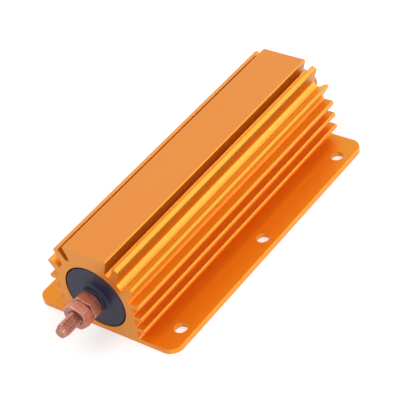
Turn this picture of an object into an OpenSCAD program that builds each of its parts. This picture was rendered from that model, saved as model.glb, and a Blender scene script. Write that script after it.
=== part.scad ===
// Wirewound power resistor in a finned aluminium housing.
// X runs along the body, Y across the flange and Z up from the mounting face.
// The origin is the centre of the mounting face. Lengths are in millimetres.

/* [Housing] */
// Length of the finned extrusion
body_len = 142; // [115:1:180]
// Height of the flat top land above the mounting face
body_h = 40.6; // [39.5:0.1:44]
// Width of the flat top land
land_w = 22.4; // [19:0.1:24]
// Height of the bore's axis above the mounting face
axis_z = 17.6; // [17:0.1:18.6]
// Diameter of the bore that holds the wound element
bore_d = 30.2; // [28:0.1:31]
// Wall of the tube round the bore, between the fins
crown_wall = 3.4; // [2.8:0.1:3.8]
// Radius of the outer corners of the top land and the flange
edge_r = 0.5; // [0.1:0.05:0.6]
// Radius of the corners of the fin tips
fin_edge_r = 0.7; // [0.1:0.05:0.8]
// Radius of the inner corners of the extrusion
groove_r = 0.5; // [0.1:0.05:0.6]

/* [Flange] */
// Width of the flange
flange_w = 72.5; // [68:0.5:80]
// Thickness of the flange
flange_t = 2.4; // [1.8:0.1:3.2]
// Radius of the flange's corners, seen from above
flange_corner_r = 6; // [1:0.5:8]
// Diameter of the six mounting holes
hole_d = 5.8; // [4:0.1:6.4]
// Distance from each end of the flange to the end holes
hole_end_margin = 12.6; // [8:0.1:20]
// Distance from each side of the flange to the holes
hole_side_margin = 6.3; // [4.5:0.1:7]

/* [Side fins] */
// Number of level fins on each side
side_fins = 3; // [1:1:3]
// Distance between neighbouring level fins
side_fin_pitch = 6.4; // [5:0.1:6.6]
// Thickness of a level fin
side_fin_t = 2; // [1.4:0.1:2.4]
// Reach of a level fin beyond the side of the tube
side_fin_len = 4.3; // [2:0.1:5.2]
// Height of the top level fin above the bore's axis
side_fin_rise = 3; // [2:0.1:3.1]

/* [Shoulder fins] */
// Angle round the bore at which the shoulder fin stands
shoulder_fin_at = 24.3; // [23.5:0.1:26]
// Slope of the shoulder fin above the horizontal
shoulder_fin_slope = 47; // [38:1:50]
// Length of the shoulder fin
shoulder_fin_len = 6.3; // [4:0.1:7.5]
// Thickness of the shoulder fin at its root
shoulder_fin_root = 4.8; // [3.4:0.1:5]
// Thickness of the shoulder fin at its tip
shoulder_fin_tip = 1.4; // [1:0.1:3]

/* [Crown fins] */
// Angle round the bore at which the crown fin stands
crown_fin_at = 47.5; // [45:0.5:48]
// Slope of the crown fin above the horizontal
crown_fin_slope = 66.5; // [64:0.5:72]
// Length of the crown fin
crown_fin_len = 7.3; // [4:0.1:8]
// Thickness of the crown fin at its root
crown_fin_root = 3.9; // [3:0.1:4.4]
// Thickness of the crown fin at its tip
crown_fin_tip = 2.6; // [2:0.1:3.2]
// Width of the slot between the crown fin and the top land, at its floor
slot_w = 2.4; // [1.6:0.1:2.8]

/* [Terminals] */
// Thread diameter of the terminal studs
stud_d = 6; // [5.2:0.1:7]
// Length of the left stud outside the end disc
stud_reach = 22.4; // [20:0.1:28]
// Length of the right stud, which ends just past its outer nut
short_stud_reach = 15.6; // [15:0.1:28]
// Length of the plain tapered tip of a stud
stud_tip_len = 2.2; // [1:0.1:2.6]
// Diameter of the flat end of the tip
stud_tip_d = 4.4; // [2:0.1:5]
// Diameter of the flat head that is welded to the end cap
stud_head_d = 13; // [9:0.5:16]
// Thickness of that head
stud_head_t = 2; // [1:0.1:3]
// Distance across the flats of the nuts
nut_af = 11; // [9.5:0.1:12]
// Thickness of the inner nut
inner_nut_t = 5.7; // [3:0.1:6]
// Thickness of the outer nut
outer_nut_t = 5; // [3:0.1:5.5]
// Turn of the inner nuts about their studs
inner_nut_turn = 46; // [0:1:59]
// Turn of the left outer nut about its stud
outer_nut_turn = 52; // [0:1:59]
// Turn of the right outer nut about its stud
right_nut_turn = 3; // [0:1:59]
// Gap all round between a nut's bore and the stud
thread_gap = 0.1; // [0.05:0.05:0.2]

/* [End discs] */
// Thickness of an end disc
disc_t = 4; // [2:0.1:6]
// Gap all round between an end disc and the bore
disc_gap = 0.6; // [0.1:0.05:0.8]
// Radius of the disc's outer edge
disc_edge_r = 0.4; // [0.1:0.1:0.8]
// Diameter of the hub that carries the inner nut
hub_d = 12; // [9:0.5:14]
// Height of the hub above the disc's face
hub_h = 2.5; // [1:0.1:4]

/* [Wound element] */
// Diameter of the ceramic core
core_d = 18; // [14:0.5:20]
// Diameter of the hole through the ceramic core
core_hole_d = 6; // [3:0.5:9]
// Distance from each end of the housing to the end of the core
core_inset = 14; // [11:0.5:20]
// Diameter of the resistance wire
wire_d = 1.2; // [0.8:0.1:1.6]
// Number of turns of wire
wire_turns = 18; // [8:1:24]
// Length of core inside an end cap
cap_depth = 8; // [4:0.5:12]
// Wall thickness of an end cap
cap_wall = 0.8; // [0.5:0.1:1.2]
// Gap all round between parts that sit inside one another
fit_gap = 0.05; // [0.02:0.01:0.1]

/* [Hidden] */
$fn = 72;

// Steps in which a small rounded corner is drawn
corner_steps = 4;
// Straight pieces in one turn of the wire, and sides of the wire
wire_steps = 16;
wire_sides = 6;
// Slack that carries a cut clear through a wall
cut = 1;

gold = "#e0872a";
copper = "#b5735a";
end_x = body_len / 2;
crown_r = bore_d / 2 + crown_wall;
disc_seat_x = end_x - disc_t;
core_end_x = end_x - core_inset;
cap_end_x = core_end_x + cap_wall;
head_end_x = cap_end_x + stud_head_t;

// ---------- outline helpers ----------

// Point at an angle round the bore's axis
function on_circle(radius, angle) = radius * [cos(angle), sin(angle)];

// Angle that a width covers on the circle of the groove floors
function span(width) = width / crown_r * 180 / PI;

// Turn a plane vector by an angle
function turned(v, angle) =
    [v.x * cos(angle) - v.y * sin(angle), v.x * sin(angle) + v.y * cos(angle)];

// Arc that rounds one corner; it gives way where the edges beside it are short
function corner_arc(before, corner, after, radius) =
    radius == 0 ? [corner] :
    let (to_a = before - corner,
         to_b = after - corner,
         dir_a = to_a / norm(to_a),
         dir_b = to_b / norm(to_b),
         half = acos(dir_a * dir_b) / 2,
         reach = min(radius / tan(half), 0.48 * min(norm(to_a), norm(to_b))),
         r = reach * tan(half),
         centre = corner + (dir_a + dir_b) / norm(dir_a + dir_b) * r / sin(half),
         start = corner + dir_a * reach - centre,
         way = sign(cross(dir_b, dir_a)),
         sweep = 180 - 2 * half)
    [for (i = [0 : corner_steps]) centre + turned(start, way * sweep * i / corner_steps)];

// Closed outline from corners given as [[x, y], radius]
function rounded(corners) =
    let (n = len(corners))
    [for (i = [0 : n - 1])
        let (before = corners[(i + n - 1) % n][0], after = corners[(i + 1) % n][0])
        each corner_arc(before, corners[i][0], after, corners[i][1])];

// The same corners on the other side of the centre plane, in reverse order
function mirrored(corners) =
    [for (i = [len(corners) - 1 : -1 : 0]) [[-corners[i][0].x, corners[i][0].y], corners[i][1]]];

// ---------- cross-section of the extrusion ----------

// Corners of a sloping fin that stands on the tube, lower side first
function sloping_fin(at, slope, length, root, tip) =
    let (base = [0, axis_z],
         tip_mid = base + on_circle(crown_r, at) + on_circle(length, slope),
         across = tip / 2 * [-sin(slope), cos(slope)])
    [[base + on_circle(crown_r, at - span(root) / 2), groove_r],
     [tip_mid - across, fin_edge_r],
     [tip_mid + across, fin_edge_r],
     [base + on_circle(crown_r, at + span(root) / 2), groove_r]];

// Side of the body at a height: upright below the bore's axis, round above it
function side_y(z) = sqrt(pow(crown_r, 2) - pow(max(z - axis_z, 0), 2));

// Corners of one level fin, lower side first
function level_fin(z) =
    let (low = z - side_fin_t / 2,
         high = z + side_fin_t / 2,
         tip = crown_r + side_fin_len)
    [[[side_y(low), low], groove_r],
     [[tip, low], fin_edge_r],
     [[tip, high], fin_edge_r],
     [[side_y(high), high], groove_r]];

// Half of the cross-section, from the flange up to the top land
slot_inner_at = crown_fin_at + span(crown_fin_root) / 2 + span(slot_w);
half_section = concat(
    [[[flange_w / 2, 0], edge_r / 2],
     [[flange_w / 2, flange_t], edge_r],
     [[crown_r, flange_t], groove_r * 2]],
    [for (i = [side_fins - 1 : -1 : 0])
        each level_fin(axis_z + side_fin_rise - i * side_fin_pitch)],
    sloping_fin(shoulder_fin_at, shoulder_fin_slope, shoulder_fin_len,
                shoulder_fin_root, shoulder_fin_tip),
    sloping_fin(crown_fin_at, crown_fin_slope, crown_fin_len,
                crown_fin_root, crown_fin_tip),
    [[[0, axis_z] + on_circle(crown_r, slot_inner_at), groove_r],
     [[land_w / 2, body_h], edge_r]]);

// ---------- placing helpers ----------

// A shape drawn up the Z axis is laid along the bore's axis, towards +X
module along_bore() translate([0, 0, axis_z]) rotate([0, 90, 0]) children();

// Right-hand pieces are drawn as they are, left-hand ones are mirrored
module at_left() mirror([1, 0, 0]) children();

// ---------- housing ----------

module flange_hole(x, y)
    translate([x, y, -cut]) cylinder(d = hole_d, h = flange_t + 2 * cut);

// What is cut off the flange corner at +X and +Y
module corner_waste()
    translate([end_x - flange_corner_r, flange_w / 2 - flange_corner_r, -cut])
        difference() {
            cube([flange_corner_r + cut, flange_corner_r + cut, flange_t + 2 * cut]);
            translate([0, 0, -cut]) cylinder(r = flange_corner_r, h = flange_t + 4 * cut);
        }

module housing()
    color(gold)
    difference() {
        rotate([90, 0, 90])
            translate([0, 0, -end_x])
                linear_extrude(body_len)
                    polygon(rounded(concat(half_section, mirrored(half_section))));
        along_bore() translate([0, 0, -end_x - cut])
            cylinder(d = bore_d, h = body_len + 2 * cut);
        for (x = [-1, 0, 1], y = [-1, 1])
            flange_hole(x * (end_x - hole_end_margin), y * (flange_w / 2 - hole_side_margin));
        for (mx = [0, 1], my = [0, 1])
            mirror([mx, 0, 0]) mirror([0, my, 0]) corner_waste();
    }

// ---------- wound element ----------

module ceramic_core()
    color("#efe9dc")
    along_bore() translate([0, 0, -core_end_x])
        difference() {
            cylinder(d = core_d, h = 2 * core_end_x);
            translate([0, 0, -cut]) cylinder(d = core_hole_d, h = 2 * (core_end_x + cut));
        }

// The wire's straight pieces touch the core at their middles
wire_path_r = (core_d / 2 + fit_gap + wire_d / 2) / cos(180 / wire_steps);
winding_r = wire_path_r + wire_d / 2;
winding_half = core_end_x - cap_depth - wire_d / 2 - fit_gap;
wire_rings = wire_turns * wire_steps;

// Point on the wire's skin: k counts rings along the wire, s counts its sides
function wire_point(k, s) =
    let (angle = 360 * k / wire_steps,
         around = 360 * s / wire_sides,
         r = wire_path_r + wire_d / 2 * cos(around),
         z = winding_half * (2 * k / wire_rings - 1) + wire_d / 2 * sin(around))
    [r * cos(angle), r * sin(angle), z];

module resistance_winding()
    color("#b8b4a8")
    along_bore()
        polyhedron(
            points = [for (k = [0 : wire_rings], s = [0 : wire_sides - 1]) wire_point(k, s)],
            faces = concat(
                [[for (s = [0 : wire_sides - 1]) s]],
                [for (k = [0 : wire_rings - 1], s = [0 : wire_sides - 1])
                    let (a = k * wire_sides + s,
                         b = k * wire_sides + (s + 1) % wire_sides)
                    [b, a, a + wire_sides, b + wire_sides]],
                [[for (s = [wire_sides - 1 : -1 : 0]) wire_rings * wire_sides + s]]));

// Steel cup pressed over the end of the core
cap_r = core_d / 2 + fit_gap + cap_wall;

module end_cap()
    color("#c9c9c4")
    along_bore() translate([0, 0, core_end_x - cap_depth])
        difference() {
            cylinder(r = cap_r, h = cap_depth + cap_wall);
            translate([0, 0, -cut]) cylinder(r = cap_r - cap_wall, h = cap_depth + cut);
        }

// Cement cast round the element; it fills the bore from disc to disc
module cement_filling()
    color("#cfc8b8")
    along_bore()
        difference() {
            translate([0, 0, -disc_seat_x]) cylinder(d = bore_d, h = 2 * disc_seat_x);
            filling_cavity(core_end_x - cap_depth, winding_r + fit_gap);
            filling_cavity(cap_end_x, cap_r + fit_gap);
            filling_cavity(head_end_x, stud_head_d / 2 + fit_gap);
            filling_cavity(end_x + cut, stud_d / 2 + fit_gap);
        }

module filling_cavity(half, radius)
    translate([0, 0, -half]) cylinder(r = radius, h = 2 * half);

// ---------- terminals ----------

// Radius that softens both edges of a stud's tip
stud_tip_r = 0.5;

// Threaded stud with a flat welded head inside and a tapered tip outside
module terminal_stud(reach)
    color(copper)
    along_bore()
        rotate_extrude()
            polygon(rounded([
                [[0, cap_end_x], 0],
                [[stud_head_d / 2, cap_end_x], 0],
                [[stud_head_d / 2, head_end_x], 0],
                [[stud_d / 2, head_end_x], 0],
                [[stud_d / 2, end_x + reach - stud_tip_len], stud_tip_r],
                [[stud_tip_d / 2, end_x + reach], stud_tip_r],
                [[0, end_x + reach], 0]]));

// Hex nut with both faces turned to a 30 degree chamfer
nut_corner_r = nut_af / 2 / cos(30);
nut_bevel = (nut_corner_r - nut_af / 2 * 0.95) * tan(30);

module hex_nut(thickness)
    color(copper)
    difference() {
        intersection() {
            cylinder(r = nut_corner_r, h = thickness, $fn = 6);
            rotate_extrude()
                polygon([[0, 0], [nut_corner_r - nut_bevel / tan(30), 0],
                         [nut_corner_r, nut_bevel], [nut_corner_r, thickness - nut_bevel],
                         [nut_corner_r - nut_bevel / tan(30), thickness], [0, thickness]]);
        }
        translate([0, 0, -cut]) cylinder(d = stud_d + 2 * thread_gap, h = thickness + 2 * cut);
        nut_mouth();
        translate([0, 0, thickness]) mirror([0, 0, 1]) nut_mouth();
    }

// Countersink at the start of the nut's thread
mouth_depth = 0.5;
module nut_mouth()
    translate([0, 0, -mouth_depth])
        cylinder(r1 = stud_d / 2 + thread_gap + 2 * mouth_depth,
                 r2 = stud_d / 2 + thread_gap, h = 2 * mouth_depth);

nut_seat_x = end_x + hub_h;

module inner_nut()
    along_bore() translate([0, 0, nut_seat_x]) rotate(inner_nut_turn) hex_nut(inner_nut_t);

module outer_nut(turn)
    along_bore() translate([0, 0, nut_seat_x + inner_nut_t])
        rotate(turn) hex_nut(outer_nut_t);

// Insulating disc that closes the bore, with a hub that the inner nut bears on
module end_disc()
    color("#2f3238")
    along_bore() translate([0, 0, disc_seat_x])
        rotate_extrude()
            polygon(rounded([
                [[stud_d / 2 + thread_gap, 0], 0],
                [[bore_d / 2 - disc_gap, 0], 0],
                [[bore_d / 2 - disc_gap, disc_t], disc_edge_r],
                [[hub_d / 2, disc_t], disc_edge_r],
                [[hub_d / 2, disc_t + hub_h], disc_edge_r],
                [[stud_d / 2 + thread_gap, disc_t + hub_h], 0]]));

// ---------- nodes ----------

housing();
cement_filling();
ceramic_core();
resistance_winding();
at_left() end_cap();  // end_cap_left
end_cap();  // end_cap_right
at_left() terminal_stud(stud_reach);  // terminal_stud_left
terminal_stud(short_stud_reach);  // terminal_stud_right
at_left() end_disc();  // end_disc_left
end_disc();  // end_disc_right
at_left() inner_nut();  // inner_nut_left
inner_nut();  // inner_nut_right
at_left() outer_nut(outer_nut_turn);  // outer_nut_left
outer_nut(right_nut_turn);  // outer_nut_right
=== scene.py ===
"""Finish of a wirewound power resistor in a finned, gold-anodised aluminium housing.

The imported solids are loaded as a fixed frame. Each operator below dresses or replaces
some of them, and the last one sets a plain studio stage round the part.
"""

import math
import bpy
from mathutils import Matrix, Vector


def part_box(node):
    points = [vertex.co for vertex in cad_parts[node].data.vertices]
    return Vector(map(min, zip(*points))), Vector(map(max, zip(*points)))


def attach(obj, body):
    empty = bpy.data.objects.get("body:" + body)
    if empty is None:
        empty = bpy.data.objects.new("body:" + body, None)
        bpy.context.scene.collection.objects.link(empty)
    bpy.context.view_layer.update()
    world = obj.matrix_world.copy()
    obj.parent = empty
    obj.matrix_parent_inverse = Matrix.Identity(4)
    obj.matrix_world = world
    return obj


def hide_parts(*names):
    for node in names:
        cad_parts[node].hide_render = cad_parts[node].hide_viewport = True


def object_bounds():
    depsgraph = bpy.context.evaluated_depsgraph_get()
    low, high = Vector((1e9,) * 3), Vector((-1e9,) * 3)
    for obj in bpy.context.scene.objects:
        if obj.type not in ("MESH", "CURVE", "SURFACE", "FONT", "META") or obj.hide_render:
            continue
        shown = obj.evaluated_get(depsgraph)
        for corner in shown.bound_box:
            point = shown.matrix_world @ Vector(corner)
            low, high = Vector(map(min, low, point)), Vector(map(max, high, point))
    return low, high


bl_info = {
    "name": "Housed Power Resistor",
    "version": (1, 0, 0),
    "blender": (4, 5, 0),
    "location": "3D View > Sidebar > Resistor",
    "description": "Anodised housing, threaded copper terminals and moulded end discs",
    "category": "Object",
}

import bmesh
import bpy
from mathutils import Matrix, Vector

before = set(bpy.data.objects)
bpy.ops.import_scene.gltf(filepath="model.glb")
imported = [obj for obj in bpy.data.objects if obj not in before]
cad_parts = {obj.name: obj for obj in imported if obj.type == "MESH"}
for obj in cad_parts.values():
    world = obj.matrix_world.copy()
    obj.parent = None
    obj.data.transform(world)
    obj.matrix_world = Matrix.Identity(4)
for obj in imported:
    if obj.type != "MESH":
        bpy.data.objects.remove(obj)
CAD_LOW, CAD_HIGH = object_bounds()

MM = 0.001
SIDES = (("left", -1), ("right", 1))
SHARP_ANGLE = math.radians(28)
NUT_SHARP_ANGLE = math.radians(15)
NUT_CRISP_ANGLE = math.radians(24)
SAWN_ANGLE = math.radians(60)
FLAT_ANGLE = math.radians(0.3)
MERGE_DISTANCE = 0.002 * MM
CUT_DISTANCE = 0.0001 * MM

HOUSING_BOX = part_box("housing")
DISC_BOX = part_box("end_disc_right")
END_X = HOUSING_BOX[1].x
LAND_Z = HOUSING_BOX[1].z
HUB_X = DISC_BOX[1].x
AXIS_Z = (DISC_BOX[0].z + DISC_BOX[1].z) / 2


# ---------------------------------------------------------------- settings


class ShapeSettings(bpy.types.PropertyGroup):
    """Sizes of the details that are added to the solids"""

    stud_diameter: bpy.props.FloatProperty(
        name="Stud diameter",
        description="Outer diameter of the thread",
        default=6 * MM,
        subtype="DISTANCE",
        unit="LENGTH",
    )
    thread_pitch: bpy.props.FloatProperty(
        name="Thread pitch",
        description="Distance from one crest of the thread to the next",
        default=1 * MM,
        subtype="DISTANCE",
        unit="LENGTH",
    )
    thread_depth: bpy.props.FloatProperty(
        name="Thread depth",
        description="Depth of the groove below the crest",
        default=0.55 * MM,
        subtype="DISTANCE",
        unit="LENGTH",
    )
    tip_length: bpy.props.FloatProperty(
        name="Tip length",
        description="Length of the tapered tip of a stud",
        default=2.2 * MM,
        subtype="DISTANCE",
        unit="LENGTH",
    )
    tip_diameter: bpy.props.FloatProperty(
        name="Tip diameter",
        description="Diameter of the flat end of a stud",
        default=4.4 * MM,
        subtype="DISTANCE",
        unit="LENGTH",
    )
    head_height: bpy.props.FloatProperty(
        name="Head height",
        description="Height of the flat head that a stud has inside the end cap",
        default=2 * MM,
        subtype="DISTANCE",
        unit="LENGTH",
    )
    saw_edge: bpy.props.FloatProperty(
        name="Saw edge",
        description="Softening of the edges where the extrusion was sawn and deburred",
        default=0.16 * MM,
        subtype="DISTANCE",
        unit="LENGTH",
    )
    nut_edge: bpy.props.FloatProperty(
        name="Nut edge",
        description="Softening of the edges of the hex nuts",
        default=0.12 * MM,
        subtype="DISTANCE",
        unit="LENGTH",
    )
    # Level faces at this height carry the flange's painted reflection
    flange_thickness: bpy.props.FloatProperty(
        name="Flange thickness",
        description="Height of the flange's upper face, where its own tint starts",
        default=2.4 * MM,
        subtype="DISTANCE",
        unit="LENGTH",
    )
    disc_edge: bpy.props.FloatProperty(
        name="Disc edge",
        description="Rounding of the rim of an end disc",
        default=0.4 * MM,
        subtype="DISTANCE",
        unit="LENGTH",
    )
    bore_gap: bpy.props.FloatProperty(
        name="Bore gap",
        description="Gap between a stud and the bore of its end disc",
        default=0.1 * MM,
        subtype="DISTANCE",
        unit="LENGTH",
    )
    hub_diameter: bpy.props.FloatProperty(
        name="Hub diameter",
        description="Diameter of the hub of an end disc",
        default=12 * MM,
        subtype="DISTANCE",
        unit="LENGTH",
    )
    hub_flare: bpy.props.FloatProperty(
        name="Hub flare",
        description="Radius of the hollow flare at the foot of the hub",
        default=1.5 * MM,
        subtype="DISTANCE",
        unit="LENGTH",
    )
    hub_edge: bpy.props.FloatProperty(
        name="Hub edge",
        description="Rounding of the hub's upper edge",
        default=0.8 * MM,
        subtype="DISTANCE",
        unit="LENGTH",
    )


class FinishSettings(bpy.types.PropertyGroup):
    """Colours of the visible surfaces"""

    gold: bpy.props.FloatVectorProperty(
        name="Gold dye",
        description="Colour of the anodised layer",
        default=(0.84, 0.297, 0.022),
        subtype="COLOR",
        size=3,
        min=0,
        max=1,
    )
    copper: bpy.props.FloatVectorProperty(
        name="Copper",
        description="Colour of the studs and nuts",
        default=(0.56, 0.242, 0.18),
        subtype="COLOR",
        size=3,
        min=0,
        max=1,
    )
    disc: bpy.props.FloatVectorProperty(
        name="End disc",
        description="Colour of the moulded end discs",
        default=(0.013, 0.013, 0.034),
        subtype="COLOR",
        size=3,
        min=0,
        max=1,
    )


class StageSettings(bpy.types.PropertyGroup):
    """Camera, floor and lights"""

    azimuth: bpy.props.FloatProperty(
        name="Azimuth",
        description="Direction of view: zero looks along +Y",
        default=math.radians(-45.96),
        subtype="ANGLE",
    )
    elevation: bpy.props.FloatProperty(
        name="Elevation",
        description="Height of the camera above the horizon",
        default=math.radians(39.26),
        subtype="ANGLE",
    )
    roll: bpy.props.FloatProperty(
        name="Roll",
        description="Turn of the camera about its own line of sight",
        default=math.radians(-12.78),
        subtype="ANGLE",
    )
    distance: bpy.props.FloatProperty(
        name="Distance",
        description="Distance from the camera to the point it looks at",
        default=0.6583,
        subtype="DISTANCE",
        unit="LENGTH",
    )
    target: bpy.props.FloatVectorProperty(
        name="Target",
        description="Point that the camera looks at",
        default=(-0.00686, -0.00595, 0.020),
        subtype="TRANSLATION",
        size=3,
    )
    lens: bpy.props.FloatProperty(
        name="Lens",
        description="Focal length on a 36 mm sensor, in millimetres",
        default=142.76,
        min=10,
    )
    floor_size: bpy.props.FloatProperty(
        name="Floor size",
        description="Side of the square floor",
        default=8.0,
        subtype="DISTANCE",
        unit="LENGTH",
    )
    sky: bpy.props.FloatProperty(
        name="Room light",
        description="Strength of the even light from all round",
        default=0.84,
        min=0,
    )
    floor_glow: bpy.props.FloatProperty(
        name="Floor glow",
        description="Light that the pale table gives off by itself",
        default=0.46,
        min=0,
    )
    floor_gap: bpy.props.FloatProperty(
        name="Floor gap",
        description="Clearance between the mounting face and the floor",
        default=0.05 * MM,
        subtype="DISTANCE",
        unit="LENGTH",
    )


# Softboxes: name, place, width, height and power in watts
SOFTBOXES = (
    ("top softbox", (0.84, -0.32, 1.20), 0.5, 0.75, 3.0),
    ("side softbox", (0.84, -1.12, 0.54), 0.45, 0.5, 2.8),
    ("back softbox", (-0.75, 0.22, 1.28), 0.8, 0.8, 4.4),
    ("front softbox", (-0.28, -1.23, 0.81), 0.9, 0.7, 4.6),
    ("rim softbox", (-1.2, 0.85, 0.4), 0.6, 0.5, 3.6),
)

# Tints laid over the dye, as factors of its red, green and blue. Most are painted light:
# painted shade on the sawn ends over their duller finish, painted sheen on the top land,
# painted reflection on the flange, painted shade on the crown's flanks and slot walls,
# painted reflection and highlight on the shoulder.
SAWN_DULLING_AND_SHADE = (0.74, 0.7, 0.3)
LAND_PAINTED_SHEEN = (1.02, 0.98, 2.0)
FLANGE_PAINTED_REFLECTION = (1.07, 1.0, 0.35)
CROWN_PAINTED_SHADE = (0.69, 0.73, 0.5)
SHOULDER_PAINTED_REFLECTION = (0.83, 1.2, 1.0)
SHOULDER_TOP_PAINTED_HIGHLIGHT = (0.88, 1.5, 1.5)

# Flanks with painted light of their own: painted shade on the crown's flanks and the slot
# walls, painted reflection and highlight on the shoulder. A zone runs between two heights
# and reaches to both sides of a middle line along X. Its faces lean out by more than Lean,
# where a level face has -1 and an upright one has 1. Later zones lie over earlier ones.
# The crown's zone covers both sides of the part, and the shoulder's two lie on the -Y side
# alone.
PAINTED_FLANK_ZONES = (
    # Painted shade on the crown's flanks and the slot walls
    (
        CROWN_PAINTED_SHADE,
        {
            "Low": LAND_Z - 9.4 * MM,
            "Top": LAND_Z - 0.4 * MM,
            "Middle": 0,
            "Reach": 17.5 * MM,
            "Lean": 0.3,
        },
    ),
    # Painted reflection on the shoulder's -Y flank
    (
        SHOULDER_PAINTED_REFLECTION,
        {
            "Low": LAND_Z - 17 * MM,
            "Top": LAND_Z - 0.4 * MM,
            "Middle": -22.5 * MM,
            "Reach": 5 * MM,
            "Lean": 0.3,
        },
    ),
    # Painted highlight on the shoulder fin's upper face
    (
        SHOULDER_TOP_PAINTED_HIGHLIGHT,
        {
            "Low": LAND_Z - 13.9 * MM,
            "Top": LAND_Z - 9.9 * MM,
            "Middle": -18.2 * MM,
            "Reach": 2.1 * MM,
            "Lean": -0.6,
        },
    ),
)


# ---------------------------------------------------------------- mesh helpers


def mark_edges(bm, sharp_angle):
    """Shade the faces smooth and keep the edges above an angle sharp."""
    for face in bm.faces:
        face.smooth = True
    for edge in bm.edges:
        edge.smooth = not (edge.is_manifold and edge.calc_face_angle(0) > sharp_angle)


def finish_piece(bm, name, material, replaced, sharp_angle=SHARP_ANGLE):
    """Turn a bmesh into a piece that rides on the part and stands for a CAD node."""
    mark_edges(bm, sharp_angle)
    mesh = bpy.data.meshes.new(name)
    bm.to_mesh(mesh)
    bm.free()
    mesh.materials.append(material)
    piece = bpy.data.objects.new(name, mesh)
    bpy.context.scene.collection.objects.link(piece)
    shading = piece.modifiers.new("even shading", "WEIGHTED_NORMAL")
    shading.keep_sharp = True
    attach(piece, "root")
    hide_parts(replaced)
    return piece


def merged_copy(node):
    """A copy of a CAD node's triangles, joined into whole faces."""
    bm = bmesh.new()
    bm.from_mesh(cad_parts[node].data)
    bmesh.ops.remove_doubles(bm, verts=bm.verts, dist=MERGE_DISTANCE)
    bmesh.ops.dissolve_limit(
        bm, angle_limit=FLAT_ANGLE, verts=bm.verts, edges=bm.edges
    )
    return bm


def soften(bm, edges, width, segments=2):
    """Round over some edges."""
    bmesh.ops.bevel(
        bm,
        geom=edges,
        offset=width,
        offset_type="OFFSET",
        segments=segments,
        profile=0.5,
        affect="EDGES",
        material=-1,
        clamp_overlap=True,
    )


def along_bore(bm, side):
    """Lay a shape that was made up the Z axis along the bore, outwards at one end."""
    turn = Matrix.Rotation(side * math.pi / 2, 4, "Y")
    place = Matrix.Translation((0, 0, AXIS_Z)) @ turn
    bmesh.ops.transform(bm, matrix=place, verts=bm.verts)


# ---------------------------------------------------------------- material helpers


def add_node(tree, kind, inputs=None, **attributes):
    """Add a node, set its attributes and its unlinked inputs."""
    made = tree.nodes.new(kind)
    for name, value in attributes.items():
        setattr(made, name, value)
    for name, value in (inputs or {}).items():
        made.inputs[name].default_value = value
    return made


def new_group(name, inputs, outputs):
    """A shader node group with named float inputs and outputs."""
    group = bpy.data.node_groups.new(name, "ShaderNodeTree")
    for label, default in inputs:
        socket = group.interface.new_socket(
            label, in_out="INPUT", socket_type="NodeSocketFloat"
        )
        socket.default_value = default
    for label in outputs:
        group.interface.new_socket(
            label, in_out="OUTPUT", socket_type="NodeSocketFloat"
        )
    return group, group.nodes.new("NodeGroupInput"), group.nodes.new("NodeGroupOutput")


def draw_lines_group():
    """Fine lines along X, as a die or a drawing plate leaves them."""
    group, given, result = new_group(
        "Draw Lines", [("Along", 6), ("Across", 2500), ("Contrast", 1)], ["Lines"]
    )
    place = add_node(group, "ShaderNodeTexCoord")
    scale = add_node(group, "ShaderNodeCombineXYZ")
    stretch = add_node(group, "ShaderNodeVectorMath", operation="MULTIPLY")
    noise = add_node(
        group, "ShaderNodeTexNoise", {"Scale": 1, "Detail": 3, "Roughness": 0.6}
    )
    centred = add_node(group, "ShaderNodeMath", {1: 0.5}, operation="SUBTRACT")
    spread = add_node(group, "ShaderNodeMath", operation="MULTIPLY")
    back = add_node(
        group, "ShaderNodeMath", {1: 0.5}, operation="ADD", use_clamp=True
    )
    link = group.links.new
    link(given.outputs["Along"], scale.inputs["X"])
    link(given.outputs["Across"], scale.inputs["Y"])
    link(given.outputs["Across"], scale.inputs["Z"])
    link(place.outputs["Object"], stretch.inputs[0])
    link(scale.outputs["Vector"], stretch.inputs[1])
    link(stretch.outputs["Vector"], noise.inputs["Vector"])
    link(noise.outputs["Fac"], centred.inputs[0])
    link(centred.outputs[0], spread.inputs[0])
    link(given.outputs["Contrast"], spread.inputs[1])
    link(spread.outputs[0], back.inputs[0])
    link(back.outputs[0], result.inputs["Lines"])
    return group


def cloud_group():
    """Soft patches of any size, for colour that drifts over a surface."""
    group, given, result = new_group(
        "Clouds", [("Scale", 100), ("Detail", 3), ("Contrast", 1)], ["Cloud"]
    )
    place = add_node(group, "ShaderNodeTexCoord")
    noise = add_node(group, "ShaderNodeTexNoise", {"Roughness": 0.55})
    centred = add_node(group, "ShaderNodeMath", {1: 0.5}, operation="SUBTRACT")
    spread = add_node(group, "ShaderNodeMath", operation="MULTIPLY")
    back = add_node(
        group, "ShaderNodeMath", {1: 0.5}, operation="ADD", use_clamp=True
    )
    link = group.links.new
    link(place.outputs["Object"], noise.inputs["Vector"])
    link(given.outputs["Scale"], noise.inputs["Scale"])
    link(given.outputs["Detail"], noise.inputs["Detail"])
    link(noise.outputs["Fac"], centred.inputs[0])
    link(centred.outputs[0], spread.inputs[0])
    link(given.outputs["Contrast"], spread.inputs[1])
    link(spread.outputs[0], back.inputs[0])
    link(back.outputs[0], result.inputs["Cloud"])
    return group


def end_faces_group():
    """One on the faces that look along X, and nought elsewhere."""
    group, given, result = new_group("End Faces", [("Start", 0.8)], ["End"])
    place = add_node(group, "ShaderNodeTexCoord")
    split = add_node(group, "ShaderNodeSeparateXYZ")
    either = add_node(group, "ShaderNodeMath", operation="ABSOLUTE")
    span = add_node(group, "ShaderNodeMapRange", {"From Max": 1.0})
    link = group.links.new
    link(place.outputs["Normal"], split.inputs[0])
    link(split.outputs["X"], either.inputs[0])
    link(either.outputs[0], span.inputs["Value"])
    link(given.outputs["Start"], span.inputs["From Min"])
    link(span.outputs["Result"], result.inputs["End"])
    return group


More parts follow.
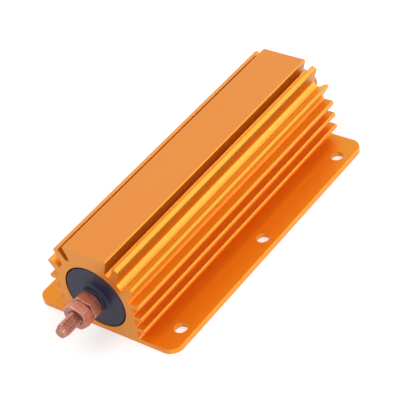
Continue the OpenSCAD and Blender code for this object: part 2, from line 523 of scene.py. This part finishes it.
def level_faces_group():
    """One on the level faces at a height, and nought elsewhere."""
    group, given, result = new_group("Level Faces", [("Height", 0.04)], ["Level"])
    tolerance = 0.1 * MM
    place = add_node(group, "ShaderNodeTexCoord")
    at = add_node(group, "ShaderNodeSeparateXYZ")
    close = add_node(group, "ShaderNodeMath", {2: tolerance}, operation="COMPARE")
    facing = add_node(group, "ShaderNodeSeparateXYZ")
    level = add_node(group, "ShaderNodeMapRange", {"From Min": 0.9, "From Max": 1.0})
    both = add_node(group, "ShaderNodeMath", operation="MULTIPLY")
    link = group.links.new
    link(place.outputs["Object"], at.inputs[0])
    link(at.outputs["Z"], close.inputs[0])
    link(given.outputs["Height"], close.inputs[1])
    link(place.outputs["Normal"], facing.inputs[0])
    link(facing.outputs["Z"], level.inputs["Value"])
    link(close.outputs[0], both.inputs[0])
    link(level.outputs["Result"], both.inputs[1])
    link(both.outputs[0], result.inputs["Level"])
    return group


def flank_zone_group():
    """One on the flanks of a zone, as PAINTED_FLANK_ZONES describes it."""
    group, given, result = new_group(
        "Painted Flank Zone",
        [("Low", 0.03), ("Top", 0.04), ("Middle", 0), ("Reach", 0.01), ("Lean", 0.3)],
        ["Flank"],
    )
    low_fade, top_fade, lean_fade = 1.0 * MM, 1.2 * MM, 0.2
    place = add_node(group, "ShaderNodeTexCoord")
    at = add_node(group, "ShaderNodeSeparateXYZ")
    near = add_node(group, "ShaderNodeMath", operation="COMPARE")
    height = add_node(group, "ShaderNodeMath", operation="SUBTRACT")
    above = add_node(group, "ShaderNodeMapRange", {"From Max": low_fade})
    depth = add_node(group, "ShaderNodeMath", operation="SUBTRACT")
    below = add_node(group, "ShaderNodeMapRange", {"From Max": top_fade})
    facing = add_node(group, "ShaderNodeSeparateXYZ")
    turned = add_node(group, "ShaderNodeMath", operation="ABSOLUTE")
    lean = add_node(group, "ShaderNodeMath", operation="SUBTRACT")
    over = add_node(group, "ShaderNodeMath", operation="SUBTRACT")
    steep = add_node(group, "ShaderNodeMapRange", {"From Max": lean_fade})
    link = group.links.new
    link(place.outputs["Object"], at.inputs[0])
    link(at.outputs["Y"], near.inputs[0])
    link(given.outputs["Middle"], near.inputs[1])
    link(given.outputs["Reach"], near.inputs[2])
    link(at.outputs["Z"], height.inputs[0])
    link(given.outputs["Low"], height.inputs[1])
    link(height.outputs[0], above.inputs["Value"])
    link(given.outputs["Top"], depth.inputs[0])
    link(at.outputs["Z"], depth.inputs[1])
    link(depth.outputs[0], below.inputs["Value"])
    link(place.outputs["Normal"], facing.inputs[0])
    link(facing.outputs["Y"], turned.inputs[0])
    link(turned.outputs[0], lean.inputs[0])
    link(facing.outputs["Z"], lean.inputs[1])
    link(lean.outputs[0], over.inputs[0])
    link(given.outputs["Lean"], over.inputs[1])
    link(over.outputs[0], steep.inputs["Value"])
    mask = near.outputs[0]
    for part in (above, below, steep):
        both = add_node(group, "ShaderNodeMath", operation="MULTIPLY")
        link(mask, both.inputs[0])
        link(part.outputs["Result"], both.inputs[1])
        mask = both.outputs[0]
    link(mask, result.inputs["Flank"])
    return group


def shared(build, name):
    """The node group of that name, built the first time it is asked for."""
    return bpy.data.node_groups.get(name) or build()


class Surface:
    """A material with a Principled shader, grown one effect at a time."""

    def __init__(self, name, **settings):
        self.material = bpy.data.materials.new(name)
        self.material.use_nodes = True
        self.tree = self.material.node_tree
        self.shader = self.tree.nodes["Principled BSDF"]
        self.normal = None
        for socket, value in settings.items():
            self.shader.inputs[socket.replace("_", " ")].default_value = value

    def effect(self, group, **values):
        """Place a shared node group and give back its output."""
        made = self.tree.nodes.new("ShaderNodeGroup")
        made.node_tree = group
        for name, value in values.items():
            made.inputs[name].default_value = value
        return made.outputs[0]

    def lines(self, along, across, contrast):
        """Fine lines along X."""
        return self.effect(
            shared(draw_lines_group, "Draw Lines"),
            Along=along,
            Across=across,
            Contrast=contrast,
        )

    def clouds(self, scale, detail, contrast):
        """Soft patches."""
        return self.effect(
            shared(cloud_group, "Clouds"),
            Scale=scale,
            Detail=detail,
            Contrast=contrast,
        )

    def blend_colour(self, mask, dark, light):
        """Run the base colour from dark to light with a mask."""
        mix = add_node(self.tree, "ShaderNodeMix", data_type="RGBA")
        mix.inputs["A"].default_value = (*dark, 1)
        mix.inputs["B"].default_value = (*light, 1)
        self.tree.links.new(mask, mix.inputs["Factor"])
        self.tree.links.new(mix.outputs["Result"], self.shader.inputs["Base Color"])
        return mix.outputs["Result"]

    def tint(self, colour, mask, other, amount=1):
        """Lay another colour over the base colour where a mask is strong."""
        strength = add_node(self.tree, "ShaderNodeMath", {1: amount}, operation="MULTIPLY")
        mix = add_node(self.tree, "ShaderNodeMix", data_type="RGBA")
        mix.inputs["B"].default_value = (*other, 1)
        link = self.tree.links.new
        link(mask, strength.inputs[0])
        link(strength.outputs[0], mix.inputs["Factor"])
        link(colour, mix.inputs["A"])
        link(mix.outputs["Result"], self.shader.inputs["Base Color"])
        return mix.outputs["Result"]

    def vary_roughness(self, mask, low, high):
        """Run the roughness from low to high with a mask."""
        span = add_node(self.tree, "ShaderNodeMapRange", {"To Min": low, "To Max": high})
        self.tree.links.new(mask, span.inputs["Value"])
        self.tree.links.new(span.outputs["Result"], self.shader.inputs["Roughness"])

    def raise_height(self, mask, strength, distance):
        """Bump the surface with a mask, on top of any bump it has."""
        bump = add_node(
            self.tree, "ShaderNodeBump", {"Strength": strength, "Distance": distance}
        )
        self.tree.links.new(mask, bump.inputs["Height"])
        if self.normal:
            self.tree.links.new(self.normal, bump.inputs["Normal"])
        self.normal = bump.outputs["Normal"]
        self.tree.links.new(self.normal, self.shader.inputs["Normal"])


def scaled(colour, factor):
    """A colour made lighter or darker."""
    return tinted(colour, (factor, factor, factor))


def tinted(colour, factors):
    """A colour with its red, green and blue scaled one by one."""
    return tuple(min(1, channel * factor) for channel, factor in zip(colour, factors))


# ---------------------------------------------------------------- materials


def anodised_gold(colour, flange_top):
    """Etched and anodised extrusion: a dyed clear layer over satin metal, with painted
    light in its colour: painted shade on the crown's flanks, the slot walls and the sawn
    ends, painted reflection and highlight on the shoulder and the flange, and painted
    sheen on the top land.
    """
    surface = Surface(
        "anodised gold",
        Metallic=0.72,
        Specular_IOR_Level=0.0,
        Coat_Weight=0.6,
        Coat_IOR=1.4,
        Coat_Roughness=0.34,
    )
    lines = surface.lines(along=5, across=1800, contrast=1.2)
    patches = surface.clouds(scale=45, detail=4, contrast=1.4)
    grain = surface.clouds(scale=5200, detail=2, contrast=2.0)
    base = surface.blend_colour(
        lines, dark=scaled(colour, 0.97), light=scaled(colour, 1.03)
    )
    base = surface.tint(base, patches, scaled(colour, 0.9), amount=0.3)
    # Painted shade on the crown's flanks and slot walls; painted reflection and highlight
    # on the shoulder
    for tint, zone in PAINTED_FLANK_ZONES:
        flank = surface.effect(shared(flank_zone_group, "Painted Flank Zone"), **zone)
        base = surface.tint(base, flank, tinted(colour, tint))
    # Painted reflection on the flange's upper face and painted sheen on the top land
    for tint, height in ((FLANGE_PAINTED_REFLECTION, flange_top), (LAND_PAINTED_SHEEN, LAND_Z)):
        level = surface.effect(shared(level_faces_group, "Level Faces"), Height=height)
        base = surface.tint(base, level, tinted(colour, tint))
    # Darker sawn ends: partly their duller finish, partly painted shade
    sawn = surface.effect(shared(end_faces_group, "End Faces"))
    surface.tint(base, sawn, tinted(colour, SAWN_DULLING_AND_SHADE))
    surface.vary_roughness(lines, low=0.31, high=0.37)
    surface.raise_height(lines, strength=0.35, distance=0.004 * MM)
    surface.raise_height(grain, strength=0.3, distance=0.006 * MM)
    return surface.material


def turned_copper(colour):
    """Machined copper that has begun to darken, with painted shade on the faces that look
    along X.
    """
    surface = Surface("copper", Metallic=1.0)
    patches = surface.clouds(scale=420, detail=4, contrast=2.2)
    grain = surface.clouds(scale=6500, detail=2, contrast=2.0)
    blotches = surface.clouds(scale=900, detail=3, contrast=3)
    base = surface.blend_colour(
        patches, dark=scaled(colour, 0.8), light=scaled(colour, 1.1)
    )
    base = surface.tint(base, blotches, tinted(colour, (0.6, 0.75, 0.85)), amount=0.3)
    # Painted shade on the copper faces that look along X: the nut faces and the stud ends
    painted_shade_faces = surface.effect(shared(end_faces_group, "End Faces"))
    surface.tint(base, painted_shade_faces, scaled(colour, 0.7))
    surface.vary_roughness(patches, low=0.3, high=0.44)
    surface.raise_height(grain, strength=0.4, distance=0.008 * MM)
    return surface.material


def moulded_disc(colour):
    """Filled moulding compound with a low gloss."""
    surface = Surface("moulded disc", IOR=1.34)
    patches = surface.clouds(scale=160, detail=4, contrast=1.8)
    grain = surface.clouds(scale=3200, detail=3, contrast=2.2)
    surface.blend_colour(patches, dark=scaled(colour, 0.8), light=scaled(colour, 1.25))
    surface.vary_roughness(patches, low=0.38, high=0.5)
    surface.raise_height(grain, strength=0.35, distance=0.012 * MM)
    return surface.material


def fired_ceramic():
    """Unglazed off-white ceramic."""
    surface = Surface("fired ceramic", IOR=1.6)
    patches = surface.clouds(scale=250, detail=4, contrast=1.5)
    surface.blend_colour(patches, dark=(0.72, 0.68, 0.58), light=(0.84, 0.81, 0.73))
    surface.vary_roughness(patches, low=0.6, high=0.8)
    surface.raise_height(patches, strength=0.2, distance=0.02 * MM)
    return surface.material


def cast_cement():
    """Grey-buff cement with a sandy face."""
    surface = Surface("cast cement", IOR=1.5)
    patches = surface.clouds(scale=600, detail=6, contrast=2.2)
    surface.blend_colour(patches, dark=(0.42, 0.38, 0.31), light=(0.62, 0.58, 0.5))
    surface.vary_roughness(patches, low=0.75, high=0.95)
    surface.raise_height(patches, strength=0.5, distance=0.06 * MM)
    return surface.material


def drawn_wire():
    """Resistance wire, drawn bright."""
    surface = Surface("resistance wire", Metallic=1.0)
    lines = surface.lines(along=300, across=3000, contrast=1.6)
    surface.blend_colour(lines, dark=(0.42, 0.4, 0.36), light=(0.58, 0.56, 0.5))
    surface.vary_roughness(lines, low=0.3, high=0.45)
    return surface.material


def pressed_steel():
    """Thin plated steel, pressed to a cup."""
    surface = Surface("cap steel", Metallic=1.0)
    patches = surface.clouds(scale=300, detail=4, contrast=1.5)
    surface.blend_colour(patches, dark=(0.5, 0.5, 0.48), light=(0.64, 0.64, 0.61))
    surface.vary_roughness(patches, low=0.28, high=0.4)
    return surface.material


def studio_floor(glow):
    """Plain pale table that gives off a little light by itself."""
    surface = Surface(
        "studio floor",
        Roughness=0.9,
        Emission_Color=(1, 1, 1, 1),
        Emission_Strength=glow,
    )
    patches = surface.clouds(scale=3, detail=2, contrast=1)
    surface.blend_colour(patches, dark=(0.55, 0.55, 0.55), light=(0.57, 0.57, 0.57))
    return surface.material


# ---------------------------------------------------------------- operators


class RESISTOR_OT_housing(bpy.types.Operator):
    """Soften the sawn ends of the extrusion and anodise it"""

    bl_idname = "resistor.housing"
    bl_label = "Anodised Housing"

    def execute(self, context):
        bm = merged_copy("housing")
        sawn = [
            edge
            for edge in bm.edges
            if all(abs(abs(v.co.x) - END_X) < MERGE_DISTANCE for v in edge.verts)
            and edge.is_manifold
            and edge.calc_face_angle(0) > SAWN_ANGLE
        ]
        if not sawn:
            raise RuntimeError("the housing has no sawn edges")
        soften(bm, sawn, context.scene.resistor_shape.saw_edge)
        gold = anodised_gold(
            context.scene.resistor_finish.gold,
            context.scene.resistor_shape.flange_thickness,
        )
        finish_piece(bm, "finned_housing", gold, "housing")
        return {"FINISHED"}


class RESISTOR_OT_studs(bpy.types.Operator):
    """Cut the threaded terminal studs"""

    bl_idname = "resistor.studs"
    bl_label = "Threaded Studs"

    def execute(self, context):
        shape = context.scene.resistor_shape
        copper = turned_copper(context.scene.resistor_finish.copper)
        for word, side in SIDES:
            low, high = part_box(f"terminal_stud_{word}")
            reach = sorted((abs(low.x), abs(high.x)))
            bm = threaded_stud(shape, *reach, (high.z - low.z) / 2)
            along_bore(bm, side)
            finish_piece(
                bm,
                f"threaded_stud_{word}",
                copper,
                f"terminal_stud_{word}",
            )
        return {"FINISHED"}


def stud_limit(shape, end, height):
    """Largest radius at a height of a stud that ends in a tapered tip."""
    crest = shape.stud_diameter / 2
    tip = shape.tip_diameter / 2
    taper = (end - height) / shape.tip_length
    return min(crest, tip + (crest - tip) * max(0, taper))


def threaded_stud(shape, foot, end, head_radius):
    """A stud up the Z axis: flat head, plain shank, thread and tapered tip."""
    steps = 56
    start = HUB_X - 2 * shape.thread_pitch
    crest = shape.stud_diameter / 2
    root = crest - shape.thread_depth
    pitch = shape.thread_pitch
    turns = math.ceil((end - start) / pitch) + 2
    # one pitch of the groove, from root to root, as fractions of the pitch
    groove = (
        (0, root),
        (0.1, root),
        (0.27, (root + crest) / 2),
        (0.44, crest),
        (0.56, crest),
        (0.73, (root + crest) / 2),
        (0.9, root),
        (1, root),
    )
    bm = bmesh.new()
    verts = [
        bm.verts.new((radius, 0, start - pitch + part * pitch))
        for part, radius in groove
    ]
    edges = [bm.edges.new(pair) for pair in zip(verts, verts[1:])]
    bmesh.ops.spin(
        bm,
        geom=verts + edges,
        cent=(0, 0, 0),
        axis=(0, 0, 1),
        dvec=(0, 0, pitch / steps),
        angle=turns * 2 * math.pi,
        steps=turns * steps,
        use_merge=False,
    )
    bmesh.ops.remove_doubles(bm, verts=bm.verts, dist=MERGE_DISTANCE)
    for height, outward in ((start, -1), (end, 1)):
        cut = bmesh.ops.bisect_plane(
            bm,
            geom=bm.verts[:] + bm.edges[:] + bm.faces[:],
            dist=CUT_DISTANCE,
            plane_co=(0, 0, height),
            plane_no=(0, 0, outward),
            clear_outer=True,
        )
        rim = [e for e in cut["geom_cut"] if isinstance(e, bmesh.types.BMEdge)]
        bmesh.ops.edgeloop_fill(bm, edges=rim)
    for vert in bm.verts:
        radius = math.hypot(vert.co.x, vert.co.y)
        limit = stud_limit(shape, end, vert.co.z)
        if radius > limit:
            vert.co.x *= limit / radius
            vert.co.y *= limit / radius
    head = foot + shape.head_height
    for low, high, size in (
        (foot, head, head_radius),
        (head, start + pitch / 2, root),
    ):
        bmesh.ops.create_cone(
            bm,
            cap_ends=True,
            segments=steps,
            radius1=size,
            radius2=size,
            depth=high - low,
            matrix=Matrix.Translation((0, 0, (low + high) / 2)),
        )
    bmesh.ops.recalc_face_normals(bm, faces=bm.faces)
    return bm


class RESISTOR_OT_nuts(bpy.types.Operator):
    """Soften the edges of the hex nuts"""

    bl_idname = "resistor.nuts"
    bl_label = "Hex Nuts"

    def execute(self, context):
        copper = turned_copper(context.scene.resistor_finish.copper)
        width = context.scene.resistor_shape.nut_edge
        for word, _ in SIDES:
            for place in ("inner", "outer"):
                node = f"{place}_nut_{word}"
                bm = merged_copy(node)
                crisp = [
                    edge
                    for edge in bm.edges
                    if edge.is_manifold and edge.calc_face_angle(0) > NUT_CRISP_ANGLE
                ]
                soften(bm, crisp, width, segments=1)
                finish_piece(
                    bm, f"hex_{node}", copper, node, NUT_SHARP_ANGLE
                )
        return {"FINISHED"}


class RESISTOR_OT_discs(bpy.types.Operator):
    """Turn the end discs with a flared hub and give them their moulded face"""

    bl_idname = "resistor.discs"
    bl_label = "Moulded End Discs"

    def execute(self, context):
        moulded = moulded_disc(context.scene.resistor_finish.disc)
        for word, side in SIDES:
            bm = flared_disc(context.scene.resistor_shape)
            along_bore(bm, side)
            finish_piece(
                bm,
                f"moulded_disc_{word}",
                moulded,
                f"end_disc_{word}",
            )
        return {"FINISHED"}


def arc(centre, radius, start, end, steps=5):
    """Points of an arc, with its angles in degrees."""
    points = []
    for count in range(steps + 1):
        angle = math.radians(start + (end - start) * count / steps)
        across = centre[0] + radius * math.cos(angle)
        up = centre[1] + radius * math.sin(angle)
        points.append((across, up))
    return points


def flared_disc(shape):
    """An end disc up the Z axis, with a hub that flares out at its foot."""
    steps = 128
    foot, face, top = DISC_BOX[0].x, END_X, HUB_X
    rim = (DISC_BOX[1].z - DISC_BOX[0].z) / 2
    bore = shape.stud_diameter / 2 + shape.bore_gap
    hub = shape.hub_diameter / 2
    edge, flare, crown = shape.disc_edge, shape.hub_flare, shape.hub_edge
    outline = [(bore, foot)]
    outline += arc((rim - edge, foot + edge), edge, -90, 0)
    outline += arc((rim - edge, face - edge), edge, 0, 90)
    outline += arc((hub + flare, face + flare), flare, 270, 180)
    outline += arc((hub - crown, top - crown), crown, 0, 90)
    outline += [(bore, top)]
    bm = bmesh.new()
    verts = [bm.verts.new((radius, 0, height)) for radius, height in outline]
    edges = [bm.edges.new(pair) for pair in zip(verts, verts[1:] + verts[:1])]
    bmesh.ops.spin(
        bm,
        geom=verts + edges,
        cent=(0, 0, 0),
        axis=(0, 0, 1),
        angle=2 * math.pi,
        steps=steps,
        use_merge=True,
    )
    bmesh.ops.remove_doubles(bm, verts=bm.verts, dist=MERGE_DISTANCE)
    bmesh.ops.recalc_face_normals(bm, faces=bm.faces)
    return bm


class RESISTOR_OT_element(bpy.types.Operator):
    """Finish the wound element inside the housing"""

    bl_idname = "resistor.element"
    bl_label = "Wound Element"

    def execute(self, context):
        steel = pressed_steel()
        finishes = {
            "cement_filling": cast_cement(),
            "ceramic_core": fired_ceramic(),
            "resistance_winding": drawn_wire(),
            "end_cap_left": steel,
            "end_cap_right": steel,
        }
        for node, material in finishes.items():
            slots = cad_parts[node].data.materials
            slots.clear()
            slots.append(material)
        return {"FINISHED"}


class RESISTOR_OT_stage(bpy.types.Operator):
    """Set the floor, the lights and the camera"""

    bl_idname = "resistor.stage"
    bl_label = "Studio Stage"

    def execute(self, context):
        stage = context.scene.resistor_stage
        lay_floor(stage)
        light_room(context.scene, stage)
        for softbox in SOFTBOXES:
            hang_light(*softbox)
        aim_camera(context.scene, stage)
        context.scene.view_settings.view_transform = "Standard"
        return {"FINISHED"}


def lay_floor(stage):
    """A plain pale floor just under the mounting face."""
    bm = bmesh.new()
    bmesh.ops.create_grid(
        bm,
        x_segments=1,
        y_segments=1,
        size=stage.floor_size / 2,
        matrix=Matrix.Translation((0, 0, CAD_LOW.z - stage.floor_gap)),
    )
    mesh = bpy.data.meshes.new("floor")
    bm.to_mesh(mesh)
    bm.free()
    mesh.materials.append(studio_floor(stage.floor_glow))
    floor = bpy.data.objects.new("floor", mesh)
    bpy.context.scene.collection.objects.link(floor)


def light_room(scene, stage):
    """Even pale light from all round."""
    world = bpy.data.worlds.new("studio room")
    world.use_nodes = True
    room = world.node_tree.nodes["Background"]
    room.inputs["Color"].default_value = (1, 1, 1, 1)
    room.inputs["Strength"].default_value = stage.sky
    scene.world = world


def hang_light(name, place, width, height, power):
    """A softbox at a place, turned to the part."""
    light = bpy.data.lights.new(name, "AREA")
    light.shape = "RECTANGLE"
    light.size = width
    light.size_y = height
    light.energy = power
    lamp = bpy.data.objects.new(name, light)
    lamp.location = place
    lamp.rotation_euler = (-Vector(place)).to_track_quat("-Z", "Y").to_euler()
    bpy.context.scene.collection.objects.link(lamp)


def aim_camera(scene, stage):
    """The camera, by its direction of view, its roll and its distance."""
    flat = math.cos(stage.elevation)
    back = Vector(
        (
            math.sin(stage.azimuth) * flat,
            -math.cos(stage.azimuth) * flat,
            math.sin(stage.elevation),
        )
    )
    right = Vector((0, 0, 1)).cross(back).normalized()
    up = back.cross(right)
    turn = Matrix((right, up, back)).transposed().to_4x4()
    data = bpy.data.cameras.new("camera")
    data.sensor_width = 36
    data.lens = stage.lens
    data.clip_start = 0.01
    data.clip_end = 20
    camera = bpy.data.objects.new("camera", data)
    place = Matrix.Translation(Vector(stage.target) + back * stage.distance)
    camera.matrix_world = place @ turn @ Matrix.Rotation(stage.roll, 4, "Z")
    scene.collection.objects.link(camera)
    scene.camera = camera


# ---------------------------------------------------------------- panel


class RESISTOR_PT_parts(bpy.types.Panel):
    """Lists the steps and their settings"""

    bl_idname = "RESISTOR_PT_parts"
    bl_label = "Housed Power Resistor"
    bl_space_type = "VIEW_3D"
    bl_region_type = "UI"
    bl_category = "Resistor"

    def draw(self, context):
        layout = self.layout
        for step in STEPS:
            layout.operator(step.bl_idname)
        for name in SETTINGS:
            settings = getattr(context.scene, name)
            box = layout.box()
            for prop in settings.bl_rna.properties:
                if prop.identifier not in ("rna_type", "name"):
                    box.prop(settings, prop.identifier)


SETTINGS = {
    "resistor_shape": ShapeSettings,
    "resistor_finish": FinishSettings,
    "resistor_stage": StageSettings,
}
STEPS = (
    RESISTOR_OT_stage,
    RESISTOR_OT_housing,
    RESISTOR_OT_studs,
    RESISTOR_OT_nuts,
    RESISTOR_OT_discs,
    RESISTOR_OT_element,
)


def register():
    """Register the settings, the operators and the panel."""
    for item in (*SETTINGS.values(), *STEPS, RESISTOR_PT_parts):
        bpy.utils.register_class(item)
    for name, kind in SETTINGS.items():
        setattr(bpy.types.Scene, name, bpy.props.PointerProperty(type=kind))


def unregister():
    """Undo register."""
    for name in SETTINGS:
        delattr(bpy.types.Scene, name)
    for item in reversed((*SETTINGS.values(), *STEPS, RESISTOR_PT_parts)):
        bpy.utils.unregister_class(item)


def main():
    """Dress the part."""
    register()
    bpy.ops.resistor.stage()
    bpy.ops.resistor.housing()
    bpy.ops.resistor.studs()
    bpy.ops.resistor.nuts()
    bpy.ops.resistor.discs()
    bpy.ops.resistor.element()


if __name__ == "__main__":
    main()
